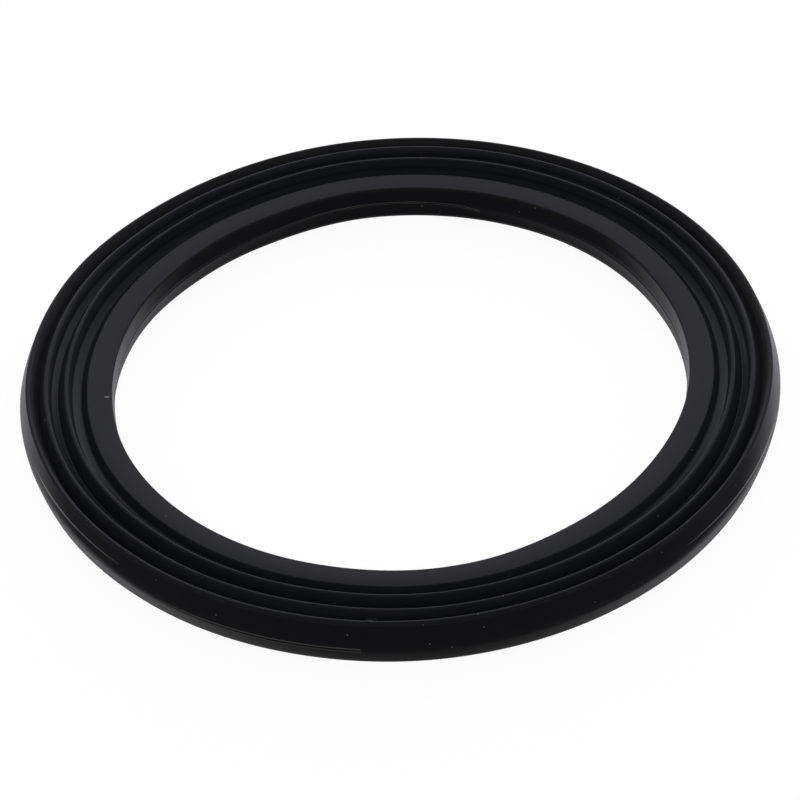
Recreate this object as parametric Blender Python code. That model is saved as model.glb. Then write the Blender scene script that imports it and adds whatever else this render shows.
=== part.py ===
# Blender blade gasket: one moulded rubber ring with a flat sealing land round its bore, three
# concentric sealing ribs outside the land, and drafted walls that meet at a mould parting line.
# The ring lies on its foot at Z = 0 with its axis on +Z. All lengths are in metres.

import math

import bpy
from mathutils import Vector

# Radial layout, from the bore outwards
BORE_RADIUS = 0.02832  # at the parting plane, where the hole is tightest
LAND_WIDTH = 0.00238  # flat sealing land, from the bore wall to the first groove
FIRST_RIB_OFFSET = 0.00193  # from the land's edge to the middle of the inner rib
RIB_SPACING = 0.00197  # from the inner rib to the middle one
EDGE_RIB_SPACING = 0.00162  # from the middle rib to the one at the rim

# Heights
LAND_THICKNESS = 0.00390
UNDERSIDE_STEP = 0.00070  # how far the underside of the land stands above the foot
UNDERSIDE_STEP_RUN = 0.00030  # how far the step leans outwards on its way down

# Sealing ribs and the grooves between them
RIB_HEIGHT = 0.00066  # above the land
EDGE_RIB_HEIGHT = 0.00058  # above the land
RIB_WIDTH = 0.00036  # across the fully rounded top of a rib
FIRST_FLANK_WIDTH = 0.00062  # seen from above, from the land's edge down to the first groove's foot
FLANK_WIDTH = 0.00074  # the same, from a rib down to the foot of the groove outside it
FIRST_GROOVE_DEPTH = 0.00078  # below the land
GROOVE_DEPTH = 0.00056  # below the land, in the two outer grooves
GROOVE_RISE = 0.00045  # climb of a groove's floor towards the next rib
INWARD_FLANK_LEAN = math.radians(28)  # from the vertical
GROOVE_FILLET = 0.00016
TOE_FILLET = 0.00060  # where a groove's floor turns up into a rib

# Walls and corners
UPPER_WALL_DRAFT = math.radians(21)  # outer wall, from the rim down to its shoulder
SHOULDER_HEIGHT = 0.00365
SHOULDER_DRAFT = math.radians(11)  # from the shoulder down to the parting plane
LOWER_WALL_DRAFT = math.radians(16.5)  # from the parting plane down to the foot
BORE_DRAFT = math.radians(5)  # bore wall, both ways from the parting plane
LAND_EDGE_FILLET = 0.00012
BORE_TOP_FILLET = 0.00018
BORE_FOOT_FILLET = 0.00090
SHOULDER_FILLET = 0.00120
WALL_FOOT_FILLET = 0.00082
FOOT_FILLET = 0.00030  # on the step between the foot and the underside of the land
FLASH_WIDTH = 0.00022  # thin ridge that the mould leaves at its parting line
FLASH_HEIGHT = 0.00006

# Smoothness
TURN_STEPS = 72  # flats round the ring
CHORD_ERROR = 0.000015  # how far a fillet's flats may cut inside its true arc
FULL_ROUND = math.inf  # a fillet as large as its sides leave room for
SAME_POINT = 0.000001

RUBBER_COLOUR = (0.012, 0.0125, 0.014, 1.0)
RUBBER_ROUGHNESS = 0.38

# The parting plane is halfway through the land's thickness.
LAND_HEIGHT = UNDERSIDE_STEP + LAND_THICKNESS
PARTING_HEIGHT = UNDERSIDE_STEP + LAND_THICKNESS / 2


def clear_scene():
    for item in list(bpy.data.objects):
        bpy.data.objects.remove(item, do_unlink=True)


def groove(start_radius, flank_width, depth, rib_middle, rib_height):
    """Corners of one groove and the inward side of the rib that ends it, outwards."""
    floor = LAND_HEIGHT - depth
    toe = floor + GROOVE_RISE
    top = LAND_HEIGHT + rib_height
    rib_side = rib_middle - RIB_WIDTH / 2
    rib_toe = rib_side - (top - toe) * math.tan(INWARD_FLANK_LEAN)
    return [
        (start_radius + flank_width, floor, GROOVE_FILLET),
        (rib_toe, toe, TOE_FILLET),
        (rib_side, top, FULL_ROUND),
    ]


def parting_flash(wall_radius, outward, draft):
    """Three corners of the thin ridge at the parting line, from top to bottom."""
    half = FLASH_WIDTH / 2
    side = wall_radius - outward * half * math.tan(draft)
    return [
        (side, PARTING_HEIGHT + half, 0),
        (wall_radius + outward * FLASH_HEIGHT, PARTING_HEIGHT, 0),
        (side, PARTING_HEIGHT - half, 0),
    ]


def section_corners():
    """The ring's section as (radius, height, fillet), from the bore outwards over the top."""
    land_inner = BORE_RADIUS + (LAND_HEIGHT - PARTING_HEIGHT) * math.tan(BORE_DRAFT)
    land_outer = land_inner + LAND_WIDTH
    inner_rib = land_outer + FIRST_RIB_OFFSET
    middle_rib = inner_rib + RIB_SPACING
    edge_rib = middle_rib + EDGE_RIB_SPACING
    rib_top = LAND_HEIGHT + RIB_HEIGHT
    edge_top = LAND_HEIGHT + EDGE_RIB_HEIGHT

    corners = [(land_inner, LAND_HEIGHT, BORE_TOP_FILLET)]
    corners.append((land_outer, LAND_HEIGHT, LAND_EDGE_FILLET))
    half_rib = RIB_WIDTH / 2
    corners += groove(land_outer, FIRST_FLANK_WIDTH, FIRST_GROOVE_DEPTH, inner_rib, RIB_HEIGHT)
    corners.append((inner_rib + half_rib, rib_top, FULL_ROUND))
    corners += groove(inner_rib + half_rib, FLANK_WIDTH, GROOVE_DEPTH, middle_rib, RIB_HEIGHT)
    corners.append((middle_rib + half_rib, rib_top, FULL_ROUND))
    corners += groove(middle_rib + half_rib, FLANK_WIDTH, GROOVE_DEPTH, edge_rib, EDGE_RIB_HEIGHT)

    # The rim: the last rib's outer side is the drafted wall itself.
    rim_radius = edge_rib + half_rib
    shoulder = rim_radius + (edge_top - SHOULDER_HEIGHT) * math.tan(UPPER_WALL_DRAFT)
    wall_radius = shoulder + (SHOULDER_HEIGHT - PARTING_HEIGHT) * math.tan(SHOULDER_DRAFT)
    corners.append((rim_radius, edge_top, FULL_ROUND))
    corners.append((shoulder, SHOULDER_HEIGHT, SHOULDER_FILLET))
    corners += parting_flash(wall_radius, 1, SHOULDER_DRAFT)
    wall_foot = wall_radius - PARTING_HEIGHT * math.tan(LOWER_WALL_DRAFT)
    corners.append((wall_foot, 0, WALL_FOOT_FILLET))

    # The underside: a flat foot under the ribs, and a step up under the land.
    corners.append((land_outer + UNDERSIDE_STEP_RUN, 0, FOOT_FILLET))
    corners.append((land_outer, UNDERSIDE_STEP, FOOT_FILLET))
    bore_foot = BORE_RADIUS + (PARTING_HEIGHT - UNDERSIDE_STEP) * math.tan(BORE_DRAFT)
    corners.append((bore_foot, UNDERSIDE_STEP, BORE_FOOT_FILLET))
    corners += reversed(parting_flash(BORE_RADIUS, -1, BORE_DRAFT))
    return corners


def fillet_arc(before, corner, after, fillet):
    """Points of a fillet on one corner, taking at most half of each side."""
    to_before = before - corner
    to_after = after - corner
    half_angle = to_before.angle(to_after) / 2
    room = min(to_before.length, to_after.length) / 2
    reach = min(fillet / math.tan(half_angle), room)
    radius = reach * math.tan(half_angle)
    middle = (to_before.normalized() + to_after.normalized()).normalized()
    centre = corner + middle * radius / math.sin(half_angle)
    spoke = corner + to_before.normalized() * reach - centre
    sweep = math.pi - 2 * half_angle
    if to_before.cross(to_after) < 0:
        sweep = -sweep
    widest_step = 2 * math.acos(1 - min(CHORD_ERROR / radius, 1))
    steps = max(2, math.ceil(abs(sweep) / widest_step))
    points = []
    for step in range(steps + 1):
        angle = -sweep * step / steps
        turned = Vector((
            spoke.x * math.cos(angle) - spoke.y * math.sin(angle),
            spoke.x * math.sin(angle) + spoke.y * math.cos(angle),
        ))
        points.append(centre + turned)
    return points


def section_outline():
    corners = section_corners()
    outline = []
    for index, (radius, height, fillet) in enumerate(corners):
        corner = Vector((radius, height))
        if fillet == 0:
            outline.append(corner)
            continue
        before = Vector(corners[index - 1][:2])
        after = Vector(corners[(index + 1) % len(corners)][:2])
        for point in fillet_arc(before, corner, after, fillet):
            if not outline or (point - outline[-1]).length > SAME_POINT:
                outline.append(point)
    return outline


def rubber_material():
    material = bpy.data.materials.new("black_rubber")
    material.use_nodes = True
    shader = material.node_tree.nodes["Principled BSDF"]
    shader.inputs["Base Color"].default_value = RUBBER_COLOUR
    shader.inputs["Roughness"].default_value = RUBBER_ROUGHNESS
    shader.inputs["Metallic"].default_value = 0.0
    return material


def make_gasket():
    """Turns the section once round the Z axis."""
    points = [(point.x, 0.0, point.y) for point in section_outline()]
    count = len(points)
    edges = [(index, (index + 1) % count) for index in range(count)]
    mesh = bpy.data.meshes.new("gasket")
    mesh.from_pydata(points, edges, [])
    mesh.materials.append(rubber_material())
    gasket = bpy.data.objects.new("gasket", mesh)
    bpy.context.scene.collection.objects.link(gasket)

    turn = gasket.modifiers.new("turn", "SCREW")
    turn.axis = "Z"
    turn.angle = 2 * math.pi
    turn.steps = TURN_STEPS
    turn.render_steps = TURN_STEPS
    turn.use_merge_vertices = True
    turn.merge_threshold = SAME_POINT
    turn.use_smooth_shade = True
    return gasket


clear_scene()
make_gasket()
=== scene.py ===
import math
import random

import bmesh
import bpy
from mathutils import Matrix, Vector


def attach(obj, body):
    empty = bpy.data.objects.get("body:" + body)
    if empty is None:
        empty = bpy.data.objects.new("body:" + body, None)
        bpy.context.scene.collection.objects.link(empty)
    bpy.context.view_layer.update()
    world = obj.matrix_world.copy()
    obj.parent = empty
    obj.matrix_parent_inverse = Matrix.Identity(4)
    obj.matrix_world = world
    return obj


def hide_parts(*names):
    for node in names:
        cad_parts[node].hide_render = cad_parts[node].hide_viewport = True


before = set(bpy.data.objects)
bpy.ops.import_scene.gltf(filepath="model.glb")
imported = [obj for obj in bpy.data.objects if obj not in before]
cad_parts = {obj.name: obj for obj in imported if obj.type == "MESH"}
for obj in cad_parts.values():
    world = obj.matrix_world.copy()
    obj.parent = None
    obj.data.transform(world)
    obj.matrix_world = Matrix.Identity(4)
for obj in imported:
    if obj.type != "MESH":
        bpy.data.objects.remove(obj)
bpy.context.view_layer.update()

# Plans are in millimetres and degrees unless a note says otherwise.
mm = 0.001
pictureSize = 800
bpy.context.scene.view_settings.view_transform = "Standard"


def deselectAll():
    if bpy.context.object and bpy.context.object.mode != "OBJECT":
        bpy.ops.object.mode_set(mode="OBJECT")
    bpy.ops.object.select_all(action="DESELECT")


def startPiece(name, corner):
    # one loose vertex at corner, in edit mode
    deselectAll()
    bpy.ops.mesh.primitive_plane_add(size=1 * mm, location=corner)
    bpy.ops.object.transform_apply(location=True, rotation=True, scale=True)
    piece = bpy.context.object
    piece.name = name
    bpy.ops.object.mode_set(mode="EDIT")
    bpy.ops.mesh.select_all(action="SELECT")
    bpy.ops.mesh.merge(type="CENTER")
    return piece


def extrudeThrough(corners):
    for before, after in zip(corners, corners[1:]):
        bpy.ops.mesh.extrude_region_move(TRANSFORM_OT_translate={"value": after - before})


def pickVerts(piece, wanted):
    bpy.ops.mesh.select_all(action="DESELECT")
    net = bmesh.from_edit_mesh(piece.data)
    for vert in net.verts:
        vert.select_set(wanted(vert))
    net.select_flush_mode()
    bmesh.update_edit_mesh(piece.data)


def around(angle, radius, height):
    return Vector((radius * math.cos(angle), radius * math.sin(angle), height)) * mm


# The camera stands half a metre from the ring's axis and is a little rolled.
cameraPlan = {
    "away": 500,
    "height": 40.72,  # degrees above the floor
    "roll": -3.52,
    "lens": 228.53,
    "sensor": 36,
    "nearestAndFarthest": (10, 20000),
    "axisPoint": (0, 0, 4.6),
    "aim": (-0.07, -1.78, 2.398),
}


def addCamera():
    plan = cameraPlan
    deselectAll()
    height = math.radians(plan["height"])
    back = Vector((0, -math.cos(height), math.sin(height)))
    spot = (Vector(plan["axisPoint"]) + plan["away"] * back) * mm
    turn = (Vector(plan["aim"]) * mm - spot).to_track_quat("-Z", "Y").to_euler()
    turn.rotate_axis("Z", math.radians(plan["roll"]))
    bpy.ops.object.camera_add(location=spot, rotation=turn)
    camera = bpy.context.object
    camera.name = "camera"
    camera.data.lens = plan["lens"]
    camera.data.sensor_width = plan["sensor"]
    camera.data.sensor_fit = "HORIZONTAL"
    camera.data.clip_start, camera.data.clip_end = (reach * mm for reach in plan["nearestAndFarthest"])
    bpy.context.scene.camera = camera
    bpy.context.view_layer.update()
    print("camera placed")
    return camera


# Each groove leaves an edge by a steep flank, and its floor climbs to the foot of the rib outside
# it. A rounding is the length that it takes of each side, and its number of steps. A corner is a
# radius, a height and a rounding.
ringPlan = {
    "landHeight": 4.6,
    "boreTop": 28.49,
    "landWidth": 2.38,
    "boreRounding": (0.15, 5),
    "landRounding": (0.10, 4),
    "ribWidth": 0.36,
    "ribRounding": (0.165, 7),
    "grooves": [
        {"rib": 32.80, "ribHeight": 0.70, "flankRun": 0.62, "depth": 0.79, "rise": 0.36, "ribRun": 0.26,
         "footRounding": (0.30, 8), "toeRounding": (0.12, 6)},
        {"rib": 34.77, "ribHeight": 0.70, "flankRun": 0.72, "depth": 0.57, "rise": 0.33, "ribRun": 0.22,
         "footRounding": (0.10, 5), "toeRounding": (0.10, 6)},
        {"rib": 36.38, "ribHeight": 0.60, "flankRun": 0.72, "depth": 0.56, "rise": 0.45, "ribRun": 0.36,
         "footRounding": (0.06, 4), "toeRounding": (0.05, 3)},
    ],
    "wall": [
        (37.14, 3.65, 0.45, 7), (37.42, 2.65, 0.60, 8), (37.06, 1.30, 0.60, 6), (36.60, 0.00, 0.55, 9),
    ],
    "footStep": {"height": 0.70, "run": 0.30, "rounding": (0.12, 3)},
    "boreFootRounding": (0.80, 7),
    "boreFlash": {"radius": 28.32, "height": 2.95, "width": 0.22, "stand": 0.04},
    "turns": 640,  # steps round the ring
    "samePoint": 0.002,
}


def sectionCorners():
    # outwards over the top, down the wall, and back underneath and up the bore
    plan = ringPlan
    land = plan["landHeight"]
    landEdge = plan["boreTop"] + plan["landWidth"]
    corners = [(plan["boreTop"], land, *plan["boreRounding"]), (landEdge, land, *plan["landRounding"])]
    edge = landEdge
    for groove in plan["grooves"]:
        floor = land - groove["depth"]
        top = land + groove["ribHeight"]
        ribInner = groove["rib"] - plan["ribWidth"] / 2
        corners.append((edge + groove["flankRun"], floor, *groove["footRounding"]))
        corners.append((ribInner - groove["ribRun"], floor + groove["rise"], *groove["toeRounding"]))
        corners.append((ribInner, top, *plan["ribRounding"]))
        edge = ribInner + plan["ribWidth"]
        corners.append((edge, top, *plan["ribRounding"]))
    corners += plan["wall"]
    step = plan["footStep"]
    corners.append((landEdge + step["run"], 0, *step["rounding"]))
    corners.append((landEdge, step["height"], *step["rounding"]))
    corners.append((plan["boreTop"], step["height"], *plan["boreFootRounding"]))
    flash = plan["boreFlash"]
    half = flash["width"] / 2
    corners.append((flash["radius"], flash["height"] - half, 0, 0))
    corners.append((flash["radius"] - flash["stand"], flash["height"], 0, 0))
    corners.append((flash["radius"], flash["height"] + half, 0, 0))
    return corners


def makeRing():
    plan = ringPlan
    rounded = sectionCorners()
    corners = [around(0, radius, height) for radius, height, _, _ in rounded]
    ring = startPiece("moulded_ring", corners[0])
    extrudeThrough(corners)
    pickVerts(ring, lambda vert: len(vert.link_edges) == 1)
    bpy.ops.mesh.edge_face_add()
    for corner, (_, _, reach, steps) in zip(corners, rounded):
        if reach:
            pickVerts(ring, lambda vert: (vert.co - corner).length < plan["samePoint"] * mm)
            bpy.ops.mesh.bevel(offset=reach * mm, offset_type="OFFSET", segments=steps,
                               affect="VERTICES", clamp_overlap=False)
    bpy.ops.mesh.select_all(action="SELECT")
    bpy.ops.mesh.remove_doubles(threshold=plan["samePoint"] * mm)
    bpy.ops.object.mode_set(mode="OBJECT")
    bpy.ops.object.modifier_add(type="SCREW")
    turn = ring.modifiers[-1]
    turn.axis = "Z"
    turn.angle = 2 * math.pi
    turn.steps = plan["turns"]
    turn.render_steps = plan["turns"]
    turn.use_merge_vertices = True
    turn.merge_threshold = plan["samePoint"] * mm
    bpy.ops.object.modifier_apply(modifier=turn.name)
    bpy.ops.object.mode_set(mode="EDIT")
    bpy.ops.mesh.select_all(action="SELECT")
    bpy.ops.mesh.remove_doubles(threshold=plan["samePoint"] * mm)
    bpy.ops.mesh.normals_make_consistent(inside=False)
    bpy.ops.object.mode_set(mode="OBJECT")
    bpy.ops.object.shade_smooth()
    print("ring turned:", len(ring.data.vertices), "points,", len(ring.data.polygons), "faces")
    return ring


# The soft ring lies a little out of round. It is pushed outwards, or inwards where negative, from
# one angle to another, and smoothly gives way beyond them.
lyingPlan = {
    "bends": [
        {"from": 0, "to": 35, "boreFoot": -0.15, "boreTop": 0.10, "ribs": 0.00, "wall": 0.15},
        {"from": 45, "to": 92, "boreFoot": 0.15, "boreTop": 0.30, "ribs": -0.05, "wall": -0.10},
        {"from": 118, "to": 130, "boreFoot": -0.35, "boreTop": -0.25, "ribs": -0.35, "wall": -0.20},
        {"from": 150, "to": 175, "boreFoot": -0.05, "boreTop": -0.20, "ribs": 0.00, "wall": 0.25},
        {"from": 225, "to": 250, "boreFoot": -0.05, "boreTop": -0.05, "ribs": -0.25, "wall": -0.15},
        {"from": 276, "to": 280, "boreFoot": 0.20, "boreTop": 0.20, "ribs": 0.05, "wall": 0.00},
        {"from": 305, "to": 325, "boreFoot": -0.20, "boreTop": -0.20, "ribs": 0.20, "wall": 0.00},
    ],
    "softness": 25,
    "boreHeights": (0.9, 4.2),  # the bore's foot and top
    "radii": (28.3, 34.8, 36.4),  # the bore, the ribs and the wall
}


def shareBetween(value, span):
    return min(1, max(0, (value - span[0]) / (span[1] - span[0])))


def pushedOut(angle, part):
    # how far the bends move one part of the section there
    plan = lyingPlan
    moved = 0
    for bend in plan["bends"]:
        middle = (bend["from"] + bend["to"]) / 2
        past = abs((angle - middle + 180) % 360 - 180) - (bend["to"] - bend["from"]) / 2
        share = 1 - shareBetween(past, (0, plan["softness"]))
        moved += bend[part] * share * share * (3 - 2 * share)
    return moved


def layRing(ring):
    # each point keeps the radius it had before it was moved, for the finish
    plan = lyingPlan
    net = bmesh.new()
    net.from_mesh(ring.data)
    sectionRadius = net.verts.layers.float.new("sectionRadius")
    outwards = {}
    for vert in net.verts:
        angle = math.atan2(vert.co.y, vert.co.x)
        turned = round(math.degrees(angle) % 360, 2)
        if turned not in outwards:
            parts = ("boreFoot", "boreTop", "ribs", "wall")
            outwards[turned] = [pushedOut(turned, part) for part in parts]
        radius = vert.co.xy.length / mm
        vert[sectionRadius] = radius
        height = vert.co.z / mm
        shares = [shareBetween(height, plan["boreHeights"])]
        shares += [shareBetween(radius, span) for span in zip(plan["radii"], plan["radii"][1:])]
        moved, *others = outwards[turned]
        for share, other in zip(shares, others):
            moved += (other - moved) * share
        vert.co = around(angle, radius + moved, height)
    net.to_mesh(ring.data)
    net.free()
    print("ring laid down")


def onRing(ring, start, direction):
    # where a straight line from start first meets the ring, and the ring's normal there
    met, place, normal, _ = ring.ray_cast(start, direction)
    if not met:
        raise ValueError(f"no ring along {direction}")
    return place, normal


# Fine beads run where the moulding flash was trimmed off the parting line, and along the wall's
# shoulder. A run has the radius it is looked for from, angles round the ring with heights, its
# beads, and their last point's share of the thickness. A bead is how far it lies above that
# height, and its thickness.
beadPlan = {
    "runs": [
        {"from": 60, "route": [(192, 3.65), (205, 3.75), (215, 3.75), (227, 3.68)],
         "beads": [(0.00, 0.20)], "end": 0.2},
        {"from": 60, "route": [(226, 2.50), (240, 2.48), (262, 2.46)],
         "beads": [(0.00, 0.13), (-0.42, 0.09)], "end": 1.5},
        {"from": 60, "route": [(352, 3.20), (335, 3.20), (320, 3.38), (309, 3.40)],
         "beads": [(0.00, 0.20)], "end": 0.2},
        {"from": 10, "route": [(124, 2.60), (115, 2.75), (104, 2.97), (85, 2.97), (76, 2.80), (71, 2.45)],
         "beads": [(0.00, 0.07), (-0.22, 0.05)], "end": 1.5},
    ],
    "stepAngle": 1.5,
    "sunk": 0.2,  # share of its thickness that a bead's middle lies under the surface
    "thinStart": 0.15,
    "growPoints": 8,  # points over which an end grows to the full thickness
    "roundness": 2,
}


def routeSpots(route):
    spots = []
    for (before, low), (after, high) in zip(route, route[1:]):
        count = max(1, round(abs(after - before) / beadPlan["stepAngle"]))
        spots += [(before + (after - before) * step / count, low + (high - low) * step / count)
                  for step in range(count)]
    return spots + [route[-1]]


def makeBead(spots, thickness, end):
    plan = beadPlan
    bead = startPiece("parting_bead", spots[0])
    extrudeThrough(spots)
    bpy.ops.object.mode_set(mode="OBJECT")
    bpy.ops.object.convert(target="CURVE")
    bead.data.bevel_depth = thickness / 2 * mm
    bead.data.bevel_resolution = plan["roundness"]
    bead.data.use_fill_caps = True
    for spline in bead.data.splines:
        for index, point in enumerate(spline.points):
            left = (len(spots) - 1 - index) / plan["growPoints"]
            point.radius = min(1, plan["thinStart"] + index / plan["growPoints"], max(end, left))
        spline.points[-1].radius = end
    bpy.ops.object.convert(target="MESH")
    bpy.ops.object.shade_smooth()
    return bead


def joined(pieces, name):
    deselectAll()
    for piece in pieces:
        piece.select_set(True)
    bpy.context.view_layer.objects.active = pieces[0]
    bpy.ops.object.join()
    whole = bpy.context.object
    whole.name = name
    bpy.ops.object.mode_set(mode="EDIT")
    bpy.ops.mesh.select_all(action="SELECT")
    bpy.ops.mesh.normals_make_consistent(inside=False)
    bpy.ops.object.mode_set(mode="OBJECT")
    print(name + ":", len(pieces), "made")
    return whole


def makeBeads(ring):
    plan = beadPlan
    beads = []
    for run in plan["runs"]:
        for offset, thickness in run["beads"]:
            spots = []
            for angle, height in routeSpots(run["route"]):
                out = around(math.radians(angle), 1, 0) / mm
                start = out * run["from"] * mm + Vector((0, 0, (height + offset) * mm))
                place, normal = onRing(ring, start, out if run["from"] < ringPlan["boreTop"] else -out)
                spots.append(place - normal * thickness * plan["sunk"] * mm)
            beads.append(makeBead(spots, thickness, run["end"]))
    return joined(beads, "parting_beads")


# Specks of dust: a picture point across and down, a length and a width. Each one sits where the
# camera sees that point on the ring.
dustPlan = {
    "specks": [
        (107, 397, 0.60, 0.18), (194, 202, 0.12, 0.08), (133, 223, 0.10, 0.08), (421, 157.5, 0.12, 0.08),
        (422, 206, 0.14, 0.10), (439.5, 212, 0.10, 0.08), (519, 212, 0.10, 0.08), (535, 208, 0.12, 0.08),
        (561, 239, 0.10, 0.08), (619, 198, 0.12, 0.08), (661, 305.5, 0.10, 0.08), (770, 361, 0.10, 0.08),
        (50.5, 369.5, 0.16, 0.10), (45, 420, 0.20, 0.08), (156, 580, 0.12, 0.08), (216, 615, 0.12, 0.08),
        (166, 516, 0.10, 0.07), (347.5, 635, 0.13, 0.09), (430, 644, 0.18, 0.09), (452, 647, 0.14, 0.10),
        (484, 627, 0.12, 0.08), (478, 614, 0.12, 0.10), (503, 596, 0.14, 0.08), (350.5, 568.6, 0.12, 0.08),
        (423, 625, 0.12, 0.08), (692, 450, 0.12, 0.08), (736, 485, 0.12, 0.08), (662, 552, 0.10, 0.07),
        (694, 548, 0.10, 0.07), (632, 560.5, 0.10, 0.07), (658, 516, 0.12, 0.08), (590, 580.5, 0.10, 0.07),
        (595, 602, 0.12, 0.08),
    ],
    "longFrom": 2,  # a speck this many times as long as wide isn't turned
    "thickness": 0.05,
    "roughShare": 0.25,
    "seed": 4,
}
# Small flakes where the rubber of the rim is torn.
flakePlan = {
    "middle": (371, 620.5),
    "spread": (4.5, 1.6),
    "count": 16,
    "size": (0.24, 0.44),
    "thickness": 0.04,
    "roughShare": 0.18,
    "seed": 9,
}


def throughPicture(camera, across, down):
    # the direction in which the camera sees a point of the picture
    scale = camera.data.sensor_width / camera.data.lens
    side = (across / pictureSize - 0.5) * scale
    up = (0.5 - down / pictureSize) * scale
    return (camera.matrix_world.to_3x3() @ Vector((side, up, -1))).normalized()


def makeSpeck(ring, camera, plan, spot, size, turn, seed):
    length, width = size
    place, normal = onRing(ring, camera.location, throughPicture(camera, *spot))
    deselectAll()
    bpy.ops.mesh.primitive_ico_sphere_add(subdivisions=1, radius=0.5 * mm)
    speck = bpy.context.object
    speck.scale = (length, width, plan["thickness"])
    bpy.ops.object.transform_apply(location=False, rotation=False, scale=True)
    bpy.ops.object.mode_set(mode="EDIT")
    bpy.ops.transform.vertex_random(offset=width * plan["roughShare"] * mm, seed=seed)
    bpy.ops.object.mode_set(mode="OBJECT")
    speck.rotation_euler = normal.to_track_quat("Z", "X").to_euler()
    speck.rotation_euler.rotate_axis("Z", turn)
    speck.location = place
    bpy.ops.object.transform_apply(location=True, rotation=True, scale=True)
    return speck


def makeDust(ring, camera):
    plan = dustPlan
    chance = random.Random(plan["seed"])
    specks = []
    for seed, (across, down, length, width) in enumerate(plan["specks"], plan["seed"]):
        turn = chance.uniform(0, math.pi) if length < plan["longFrom"] * width else 0
        specks.append(makeSpeck(ring, camera, plan, (across, down), (length, width), turn, seed))
    return joined(specks, "dust_specks")


def makeFlakes(ring, camera):
    plan = flakePlan
    chance = random.Random(plan["seed"])
    flakes = []
    for index in range(plan["count"]):
        spot = [middle + chance.uniform(-spread, spread)
                for middle, spread in zip(plan["middle"], plan["spread"])]
        size = [chance.uniform(*plan["size"]) for _ in range(2)]
        turn = chance.uniform(0, math.pi)
        flakes.append(makeSpeck(ring, camera, plan, spot, size, turn, plan["seed"] + index))
    return joined(flakes, "torn_flakes")


class Wire:
    # a socket's value, ready for arithmetic

    def __init__(self, shelf, socket):
        self.shelf = shelf
        self.socket = socket

    def output(self, name):
        # another output of the same node
        return Wire(self.shelf, self.socket.node.outputs[name])

    def maths(self, operation, *values):
        return self.shelf.node("ShaderNodeMath", {"operation": operation}, dict(enumerate(values)))

    def __add__(self, other):
        return self.maths("ADD", self, other)

    __radd__ = __add__

    def __mul__(self, other):
        return self.maths("MULTIPLY", self, other)

    __rmul__ = __mul__

    def __sub__(self, other):
        return self.maths("SUBTRACT", self, other)

    def __rsub__(self, other):
        return self.maths("SUBTRACT", other, self)


class Shelf:
    # the nodes of one material or of the world

    def __init__(self, tree):
        self.tree = tree

    def plug(self, socket, value):
        if isinstance(value, Wire):
            self.tree.links.new(value.socket, socket)
        else:
            socket.default_value = value

    def node(self, kind, settings=None, inputs=None, out=0):
        made = self.tree.nodes.new(kind)
        for key, value in (settings or {}).items():
            if key == "ramp":
                stops = made.color_ramp.elements
                while len(stops) < len(value):
                    stops.new(0.5)
                for stop, (place, colour) in zip(stops, value):
                    stop.position = place
                    stop.color = colour
            else:
                setattr(made, key, value)
        for key, value in (inputs or {}).items():
            self.plug(made.inputs[key], value)
        return Wire(self, made.outputs[out])

    def mixed(self, share, first, second):
        # two surfaces in one
        return self.node("ShaderNodeMixShader", inputs={0: share, 1: first, 2: second})


def newMaterial(name):
    # with its nodes, its first surface and that surface's sockets
    material = bpy.data.materials.new(name)
    material.use_nodes = True
    shelf = Shelf(material.node_tree)
    shader = material.node_tree.nodes["Principled BSDF"]
    return material, shelf, Wire(shelf, shader.outputs[0]), shader.inputs


def showSurface(material, surface):
    surface.shelf.plug(material.node_tree.nodes["Material Output"].inputs["Surface"], surface)


def ramped(shelf, value, start, soft):
    # 0 below start, 1 past start + soft, smooth between them
    return shelf.node("ShaderNodeMapRange", {"interpolation_type": "SMOOTHSTEP"},
                      {"Value": value, "From Min": start, "From Max": start + soft})


def mixColour(shelf, share, first, second):
    # 6, 7 and 2 are the node's colour sockets
    return shelf.node("ShaderNodeMix", {"data_type": "RGBA"}, {0: share, 6: first, 7: second}, 2)


def noise(shelf, place, plan):
    return shelf.node("ShaderNodeTexNoise", None,
                      {"Vector": place, "Scale": plan["scale"], "Detail": plan["detail"]})


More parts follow.
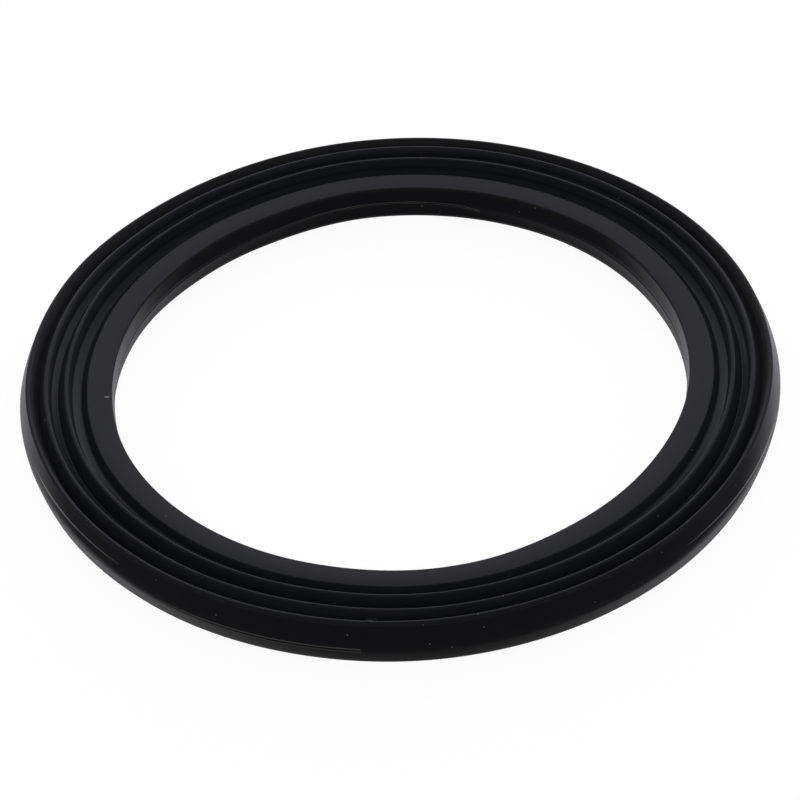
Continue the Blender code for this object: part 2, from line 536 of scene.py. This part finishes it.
# The rubber is a bluish black. Across the top its colour is painted lighter or darker by zone for
# light and shade: painted shade on the groove flanks, the first two groove floors, the rib tops and
# the walls and bore, painted light on the risers and the third groove's floor. Down the walls and in
# the bore a pale second surface shows at a low angle, a painted sheen for the white floor's
# reflection. On top, a colour's fourth number is its roughness. A groove has a steep flank, a floor
# that slopes up outwards, and a riser from there up to its rib.
rubberPlan = {
    "face": (0.0105, 0.0107, 0.0128, 0.50),
    # painted light and shade: flanks darker, risers lighter, floors darker in the first two grooves and
    # lighter in the third
    "grooves": [
        {"flank": (0.0072, 0.0078, 0.0102, 0.36), "slope": (0.0064, 0.0070, 0.0094, 0.32),
         "riser": (0.0125, 0.0132, 0.0158, 0.50)},
        {"flank": (0.0074, 0.0079, 0.0104, 0.36), "slope": (0.0092, 0.0098, 0.0122, 0.28),
         "riser": (0.0190, 0.0196, 0.0222, 0.50)},
        {"flank": (0.0082, 0.0086, 0.0108, 0.40), "slope": (0.0165, 0.0163, 0.0175, 0.45),
         "riser": (0.0185, 0.0182, 0.0194, 0.50)},
    ],
    # rib tops painted darker, a painted shade that dims their highlights
    "rib": (0.0088, 0.0091, 0.0110, 0.50),
    "bandStep": 0.0625,  # half the width over which one colour turns to the next
    "reach": 40,  # radius at the end of the ramp of colours
    # painted shade: the walls and the bore are darker than the top
    "wall": (0.0055, 0.0053, 0.0065, 1),
    "wallFrom": 36.40,
    "wallTop": 4.7,
    "boreTo": 28.42,
    "boreTop": 4.3,
    "soft": 0.25,
    # a pale surface mixed in where a wall is seen aslant: a painted sheen for the white floor's reflection
    "paintedSheen": {
        "colour": (0.186, 0.180, 0.188, 1),
        "roughness": 0.7,
        "onWall": (0.46, 0.46),  # how far aslant it starts to show, and over how much it grows
        "inBore": (0.30, 0.60),
    },
    # a painted shadow line under the bore's parting: no painted sheen there, and only this share of it
    # below
    "boreShadowLine": {"low": 2.62, "high": 2.84, "soft": 0.12, "below": 0.65},
    "specular": 0.033,
    "mottle": {"scale": 260, "detail": 4, "share": 0.22},
    "roughnessChange": 0.10,
    "grain": {"scale": 5200, "detail": 3, "height": 0.0016},
    "mouldLines": {"scale": 9000, "detail": 2, "along": 24, "height": 0.0010},
    "waver": {"scale": 180, "detail": 2, "height": 0.02},
}


def colourBands():
    # the ramp's colours by radius, from the land outwards, each zone painted lighter or darker for light
    # and shade; max keeps a short floor its own band
    plan = rubberPlan
    step = plan["bandStep"]
    edge = ringPlan["boreTop"] + ringPlan["landWidth"]
    bands = [(edge - step, plan["face"])]
    for groove, colours in zip(ringPlan["grooves"], plan["grooves"]):
        foot = edge + groove["flankRun"]
        rib = groove["rib"]
        toe = rib - ringPlan["ribWidth"] / 2 - groove["ribRun"]
        bands += [(edge + step, colours["flank"]), (foot, colours["flank"])]
        bands += [(foot + 2 * step, colours["slope"]), (max(toe, foot + 3 * step), colours["slope"])]
        bands += [(max(toe + step, foot + 5 * step), colours["riser"]), (rib - 3 * step, colours["riser"])]
        edge = rib + ringPlan["ribWidth"] / 2
        bands += [(rib - 2 * step, plan["rib"]), (edge, plan["rib"])]
    return [(radius / plan["reach"], colour) for radius, colour in bands]


def rubberWithPaintedLight():
    plan = rubberPlan
    material, shelf, plainRubber, sockets = newMaterial("rubber_with_painted_light")
    place = shelf.node("ShaderNodeTexCoord", out="Object")
    split = shelf.node("ShaderNodeSeparateXYZ", None, {0: place})
    x, y, z = (split.output(name) for name in "XYZ")
    radius = shelf.node("ShaderNodeAttribute", {"attribute_name": "sectionRadius"}, out="Fac")
    height = z * (1 / mm)

    onWall = ramped(shelf, radius, plan["wallFrom"], plan["soft"])
    underRim = onWall * (1 - ramped(shelf, height, plan["wallTop"], plan["soft"]))
    inBore = 1 - ramped(shelf, radius, plan["boreTo"], plan["soft"])
    inBore = inBore * (1 - ramped(shelf, height, plan["boreTop"], plan["soft"]))
    mottle = noise(shelf, place, plan["mottle"])
    bands = shelf.node("ShaderNodeValToRGB", {"ramp": colourBands()}, {0: radius * (1 / plan["reach"])})
    # painted shade: the walls and the bore take the darker wall colour
    colour = mixColour(shelf, underRim + inBore, bands, plan["wall"])
    shade = 1 - plan["mottle"]["share"] / 2 + mottle * plan["mottle"]["share"]
    colour = shelf.node("ShaderNodeVectorMath", {"operation": "SCALE"}, {0: colour, "Scale": shade})
    grain = noise(shelf, place, plan["grain"])
    rough = bands.output("Alpha") + (grain + mottle - 1) * plan["roughnessChange"]

    # fine lines that the turned mould left all round the ring, and a slow waver in its faces
    lines = plan["mouldLines"]
    reach = x.maths("SQRT", x * x + y * y)
    along = x.maths("ARCTAN2", y, x) * (lines["along"] / lines["scale"])
    turned = shelf.node("ShaderNodeCombineXYZ", None, {0: reach, 1: along, 2: z})
    relief = grain * plan["grain"]["height"] + noise(shelf, turned, lines) * lines["height"]
    relief = relief + noise(shelf, place, plan["waver"]) * plan["waver"]["height"]
    bump = shelf.node("ShaderNodeBump", None, {"Strength": 1.0, "Distance": 1 * mm, "Height": relief})

    # the painted sheen is a second, pale surface over the first where it is seen aslant, standing in
    # for the floor's reflection; a painted shadow line at the bore's parting has none of it, and less
    # lies below that line
    inputs = {"Base Color": colour, "Roughness": rough, "Normal": bump}
    inputs["Specular IOR Level"] = plan["specular"]
    for name, value in inputs.items():
        shelf.plug(sockets[name], value)
    paintedSheen = plan["paintedSheen"]
    inputs.update({"Base Color": paintedSheen["colour"], "Roughness": paintedSheen["roughness"]})
    sheenSurface = shelf.node("ShaderNodeBsdfPrincipled", None, inputs)
    sideways = shelf.node("ShaderNodeLayerWeight", None, {"Blend": 0.5}, "Facing")
    line = plan["boreShadowLine"]
    overLine = ramped(shelf, height, line["high"], line["soft"])
    underLine = 1 - ramped(shelf, height, line["low"] - line["soft"], line["soft"])
    inBore = inBore * (overLine + underLine * line["below"])
    share = onWall * ramped(shelf, sideways, *paintedSheen["onWall"])
    share = share + inBore * ramped(shelf, sideways, *paintedSheen["inBore"])
    showSurface(material, shelf.mixed(share, plainRubber, sheenSurface))
    print("rubber finished")
    return material


# Loose pieces have a dark and a pale colour in a fine pattern.
dustFinish = {
    "pale": (0.26, 0.25, 0.24, 1),
    "dark": (0.09, 0.09, 0.092, 1),
    "scale": 9000,
    "detail": 2,
    "roughness": 0.85,
    "specular": 0.5,
}
flakeFinish = {
    "pale": (0.026, 0.029, 0.036, 1),
    "dark": (0.010, 0.011, 0.015, 1),
    "scale": 7000,
    "detail": 2,
    "roughness": 0.8,
    "specular": 0.05,
}
# The beads' pattern is lighter than the ring's rubber, partly the pale trimmed rubber and partly a painted
# highlight; towards the ring's left and right sides it turns to a paler painted highlight.
beadRubberAndHighlight = {
    "pale": (0.033, 0.029, 0.025, 1),
    "dark": (0.011, 0.010, 0.009, 1),
    "scale": 700,
    "detail": 2,
    "roughness": 0.5,
    "specular": 0.5,
    "side": (30, 6),  # past this distance, over this width, the beads turn to the next colour
    "sideColour": (0.17, 0.153, 0.137, 1),
}


def spottedFinish(name, plan):
    material, shelf, _, sockets = newMaterial(name)
    place = shelf.node("ShaderNodeTexCoord", out="Object")
    colour = mixColour(shelf, noise(shelf, place, plan), plan["dark"], plan["pale"])
    # beads only: towards the ring's left and right sides the colour turns to a painted highlight
    if "side" in plan:
        across = shelf.node("ShaderNodeSeparateXYZ", None, {0: place}, "X")
        highlightShare = ramped(shelf, across.maths("ABSOLUTE", across) * (1 / mm), *plan["side"])
        colour = mixColour(shelf, highlightShare, colour, plan["sideColour"])
    inputs = {"Base Color": colour, "Roughness": plan["roughness"]}
    inputs["Specular IOR Level"] = plan["specular"]
    for socket, value in inputs.items():
        shelf.plug(sockets[socket], value)
    print(name, "finished")
    return material


# A pale floor. The camera sees most of it as plain white, so the ring keeps only a faint shadow.
floorPlan = {
    "size": 4000,
    "drop": 0.01,  # keeps it apart from the ring's foot
    "colour": (0.86, 0.85, 0.84, 1),
    "roughness": 0.9,
    "seenWhite": 0.95,
    "mirroredWhite": 0.30,
}


def addFloor():
    plan = floorPlan
    deselectAll()
    bpy.ops.mesh.primitive_plane_add(size=plan["size"] * mm, location=(0, 0, -plan["drop"] * mm))
    floor = bpy.context.object
    floor.name = "floor"
    material, shelf, matt, sockets = newMaterial("floor_finish")
    inputs = {"Base Color": plan["colour"], "Roughness": plan["roughness"], "Specular IOR Level": 0}
    for socket, value in inputs.items():
        shelf.plug(sockets[socket], value)
    path = shelf.node("ShaderNodeLightPath")
    white = (path.output("Is Camera Ray") + path.output("Is Transmission Ray")) * plan["seenWhite"]
    white = white + path.output("Is Glossy Ray") * plan["mirroredWhite"]
    glow = shelf.node("ShaderNodeEmission", None, {"Color": (1, 1, 1, 1), "Strength": 1.0})
    showSurface(material, shelf.mixed(white, matt, glow))
    floor.data.materials.append(material)
    print("floor laid")


# One soft lamp behind the ring. Its places and size are in metres, and radiance 1 shows as plain
# white.
lampPlan = {
    "place": (0.18, 0.60, 0.38),
    "aim": (0.18, 0, 0.38),
    "size": (1.12, 0.72),
    "radiance": 3.5,
    "colour": (0.965, 0.965, 1.09),
}


def addLamp():
    plan = lampPlan
    deselectAll()
    place = Vector(plan["place"])
    turn = (Vector(plan["aim"]) - place).to_track_quat("-Z", "Y").to_euler()
    bpy.ops.object.light_add(type="AREA", location=place, rotation=turn)
    lamp = bpy.context.object
    lamp.name = "back_lamp"
    width, height = plan["size"]
    lamp.data.shape = "RECTANGLE"
    lamp.data.size = width
    lamp.data.size_y = height
    lamp.data.energy = plan["radiance"] * math.pi * width * height
    lamp.data.color = plan["colour"]
    print("lamp placed")


# Brightness of the studio by the sine of the height above the horizon. The camera itself sees
# plain white there.
worldPlan = {"sky": [(0.0, 0.15), (0.12, 0.45), (0.30, 0.75), (0.7, 0.75), (1.0, 0.78)]}


def addWorld():
    world = bpy.context.scene.world or bpy.data.worlds.new("studio")
    bpy.context.scene.world = world
    world.use_nodes = True
    world.node_tree.nodes.clear()
    shelf = Shelf(world.node_tree)
    place = shelf.node("ShaderNodeTexCoord", out="Generated")
    sine = shelf.node("ShaderNodeSeparateXYZ", None, {0: place}, "Z")
    greys = [(height, (level, level, level, 1)) for height, level in worldPlan["sky"]]
    sky = shelf.node("ShaderNodeValToRGB", {"ramp": greys}, {0: sine})
    studio = shelf.node("ShaderNodeBackground", None, {"Color": sky, "Strength": 1.0})
    white = shelf.node("ShaderNodeBackground", None, {"Color": (1, 1, 1, 1), "Strength": 1.0})
    seen = shelf.node("ShaderNodeLightPath", out="Is Camera Ray")
    output = shelf.tree.nodes.new("ShaderNodeOutputWorld")
    shelf.plug(output.inputs["Surface"], shelf.mixed(seen, studio, white))
    print("world lit")


def finishPiece(piece, material):
    piece.data.materials.clear()
    piece.data.materials.append(material)
    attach(piece, "root")


camera = addCamera()
ring = makeRing()
layRing(ring)
beads = makeBeads(ring)
dust = makeDust(ring, camera)
flakes = makeFlakes(ring, camera)
finishPiece(ring, rubberWithPaintedLight())
finishPiece(beads, spottedFinish("trimmed_rubber_and_painted_highlight", beadRubberAndHighlight))
finishPiece(dust, spottedFinish("dust", dustFinish))
finishPiece(flakes, spottedFinish("torn_rubber", flakeFinish))
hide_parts("gasket")
addFloor()
addLamp()
addWorld()
